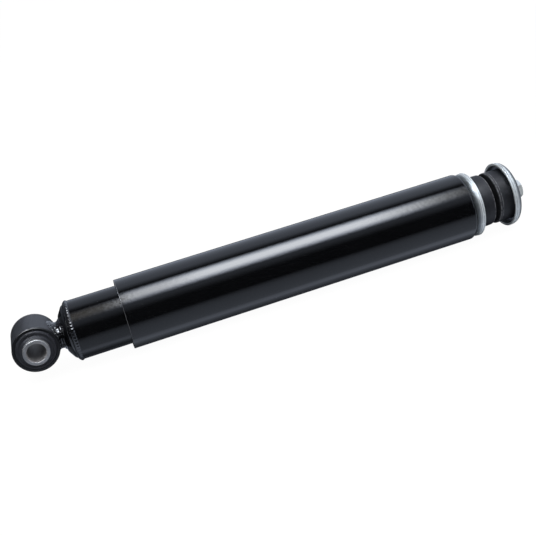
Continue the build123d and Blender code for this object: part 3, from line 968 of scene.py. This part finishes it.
class BuildStage(bpy.types.Operator):
    """Floor, soft lamp, studio surroundings and camera"""

    bl_idname = "damper.build_stage"
    bl_label = "Stage"

    def execute(self, context):
        studio = context.scene.damper_studio
        self.add_floor(context, studio)
        self.add_lamp(context, studio)
        self.write_world(context, studio)
        self.add_camera(context, studio)
        context.scene.view_settings.view_transform = "Standard"
        return {"FINISHED"}

    def add_floor(self, context, studio):
        """White paper for the camera, and a grey floor beside the damper for its gloss, with a
        painted shadow under the damper and a painted light line near its edge.
        """
        mesh = bpy.data.meshes.new("floor")
        shape = bmesh.new()
        centre = (0.3, 0.0, CAD_BOX[0].z)
        bmesh.ops.create_grid(shape, x_segments=8, y_segments=8, size=studio.floor_half)
        bmesh.ops.translate(shape, verts=shape.verts, vec=centre)
        shape.to_mesh(mesh)
        shape.free()
        floor = bpy.data.objects.new("floor", mesh)
        context.scene.collection.objects.link(floor)
        material, shader = new_finish("pale_floor")
        seen, mirrored = shader.ray_kinds()
        pale = shader.mix(shader.noise(0.4), (0.78, 0.78, 0.78, 1.0), (0.80, 0.80, 0.80, 1.0))
        paper = shader.node("ShaderNodeBsdfDiffuse", None, {"Color": pale})
        lit = {"Color": (1.0, 1.0, 1.0, 1.0), "Strength": 1.04}
        white = shader.node("ShaderNodeEmission", None, lit)
        off = abs(shader.axes()[1])
        # Painted shadow: the floor that gloss mirrors is darker under the damper, with a painted
        # light line near its edge.
        level = off.fade(0.06, 0.22, 0.60, 0.02) + off.window(0.035, 0.040, 0.006) * 0.25
        level = level * off.fade(0.020, 0.037, 0.14, 1.0)
        cool = {"Color": (0.78, 0.87, 1.05, 1.0), "Strength": level}
        grey = shader.node("ShaderNodeEmission", None, cool)
        plain = shader.node("ShaderNodeMixShader", None, {0: mirrored, 1: paper, 2: grey})
        surface = shader.node("ShaderNodeMixShader", None, {0: seen * 0.93, 1: plain, 2: white})
        shader.node("ShaderNodeOutputMaterial", None, {"Surface": surface})
        mesh.materials.append(material)

    def add_lamp(self, context, studio):
        """Soft lamp above the damper, on the camera's side. Gloss doesn't show it."""
        light = bpy.data.lights.new("soft_lamp", "AREA")
        light.shape = "RECTANGLE"
        light.size = 2.4
        light.size_y = 1.5
        light.energy = studio.lamp_power
        lamp = bpy.data.objects.new("soft_lamp", light)
        lamp.location = (0.35, -0.45, studio.lamp_height)
        middle = Vector((0.31, 0.0, 0.0))
        aim = middle - lamp.location
        lamp.rotation_euler = aim.to_track_quat("-Z", "Y").to_euler()
        lamp.visible_glossy = False
        context.scene.collection.objects.link(lamp)

    def write_world(self, context, studio):
        """White for the camera, even light for what is matt, and a studio for what is glossy.

        A light of that studio is placed by X of the direction to it, and by its tilt about X in
        degrees: 0 on the camera's side, 90 overhead and 180 behind.
        """
        world = bpy.data.worlds.new("studio")
        context.scene.world = world
        shader = Shader(world)
        seen, glossy = shader.ray_kinds()
        sky = shader.node("ShaderNodeTexCoord", output="Generated")
        along = shader.node("ShaderNodeSeparateXYZ", None, {"Vector": sky}, "X")
        depth, height = along.out("Y"), along.out("Z")
        tilt = height.angle_from(-depth) * (180.0 / math.pi)
        # Long soft box overhead, stepped down towards the eye
        box_side = tilt.fade(46.0, 68.0) * tilt.fade(75.0, 97.0, 1.0, 0.0)
        near_end = 0.02 + along.fade(0.014, 0.040) * 0.66 + along.fade(0.06, 0.125) * 0.34
        box = box_side * near_end * along.fade(0.28, 0.42, 1.0, 0.0)
        # Lamps beyond the eye and beyond the stud
        eye_lamp = along.window(-0.27, -0.13, 0.04) + along.window(-0.60, -0.27, 0.10) * 0.25
        eye_lamp = eye_lamp * tilt.window(60.0, 74.0, 5.0) * 2.2
        stud_lamp = along.window(0.58, 0.82, 0.06) * tilt.window(10.0, 110.0, 15.0)
        # The pale room in front and the backdrop behind
        front = tilt.fade(20.0, 48.0, 0.02, 0.45) * tilt.fade(86.0, 95.0, 1.0, 0.0)
        backdrop = tilt.fade(93.0, 119.0) + tilt.fade(-178.0, -90.0, 1.0, 0.0)
        room = (front + backdrop.clamped() * 0.72) * along.fade(-0.30, -0.05, 0.25, 1.0)
        mirror = (box + eye_lamp) * studio.band + room + stud_lamp
        ambient = height.fade(-0.2, 1.0, 0.35, 0.75)
        level = glossy * mirror + (1.0 - glossy) * ambient
        level = seen + (1.0 - seen) * level
        cool = shader.mix(box_side, (0.76, 0.85, 1.03, 1.0), (0.90, 0.94, 1.0, 1.0))
        warm_part = box_side * along.window(-0.06, 0.0, 0.03)
        cool = shader.mix(warm_part, cool, (1.0, 0.93, 0.82, 1.0))
        tint = shader.mix(glossy, (1.0, 1.0, 1.0, 1.0), cool)
        surroundings = shader.node("ShaderNodeBackground", None, {"Color": tint, "Strength": level})
        shader.node("ShaderNodeOutputWorld", None, {"Surface": surroundings})

    def add_camera(self, context, studio):
        """The camera of the picture, turned by its right and up directions."""
        data = bpy.data.cameras.new("camera")
        data.sensor_width = 36.0
        data.lens = studio.lens
        data.clip_start = 0.01
        data.clip_end = 100.0
        camera = bpy.data.objects.new("camera", data)
        right = Vector(studio.camera_right).normalized()
        up = Vector(studio.camera_up).normalized()
        back = right.cross(up)
        turn = Matrix((right, back.cross(right), back)).transposed().to_4x4()
        camera.matrix_world = Matrix.Translation(Vector(studio.camera_place)) @ turn
        context.scene.collection.objects.link(camera)
        context.scene.camera = camera


class DamperPanel(bpy.types.Panel):
    """Sidebar tab with the damper's operators and settings"""

    bl_idname = "VIEW3D_PT_damper"
    bl_label = "Damper"
    bl_space_type = "VIEW_3D"
    bl_region_type = "UI"
    bl_category = "Damper"

    def draw(self, context):
        column = self.layout.column(align=True)
        for operator in OPERATORS:
            column.operator(operator.bl_idname)
        scene = context.scene
        for group in (scene.damper_finish, scene.damper_welds, scene.damper_studio):
            box = self.layout.box()
            for name in group.__annotations__:
                box.prop(group, name)


OPERATORS = (
    DressEye,
    DressCylinder,
    LayWelds,
    DressFootValve,
    DressPiston,
    DressRod,
    DressGuide,
    DressDustCover,
    DressStudEnd,
    BuildStage,
)
CLASSES = (FinishSettings, WeldSettings, StudioSettings, *OPERATORS, DamperPanel)


def register():
    for entry in CLASSES:
        bpy.utils.register_class(entry)
    bpy.types.Scene.damper_finish = bpy.props.PointerProperty(type=FinishSettings)
    bpy.types.Scene.damper_welds = bpy.props.PointerProperty(type=WeldSettings)
    bpy.types.Scene.damper_studio = bpy.props.PointerProperty(type=StudioSettings)


def unregister():
    del bpy.types.Scene.damper_studio
    del bpy.types.Scene.damper_welds
    del bpy.types.Scene.damper_finish
    for entry in reversed(CLASSES):
        bpy.utils.unregister_class(entry)


def main():
    register()
    bpy.ops.damper.dress_eye()
    bpy.ops.damper.dress_cylinder()
    bpy.ops.damper.lay_welds()
    bpy.ops.damper.dress_foot_valve()
    bpy.ops.damper.dress_piston()
    bpy.ops.damper.dress_rod()
    bpy.ops.damper.dress_guide()
    bpy.ops.damper.dress_dust_cover()
    bpy.ops.damper.dress_stud_end()
    bpy.ops.damper.build_stage()


if __name__ == "__main__":
    main()
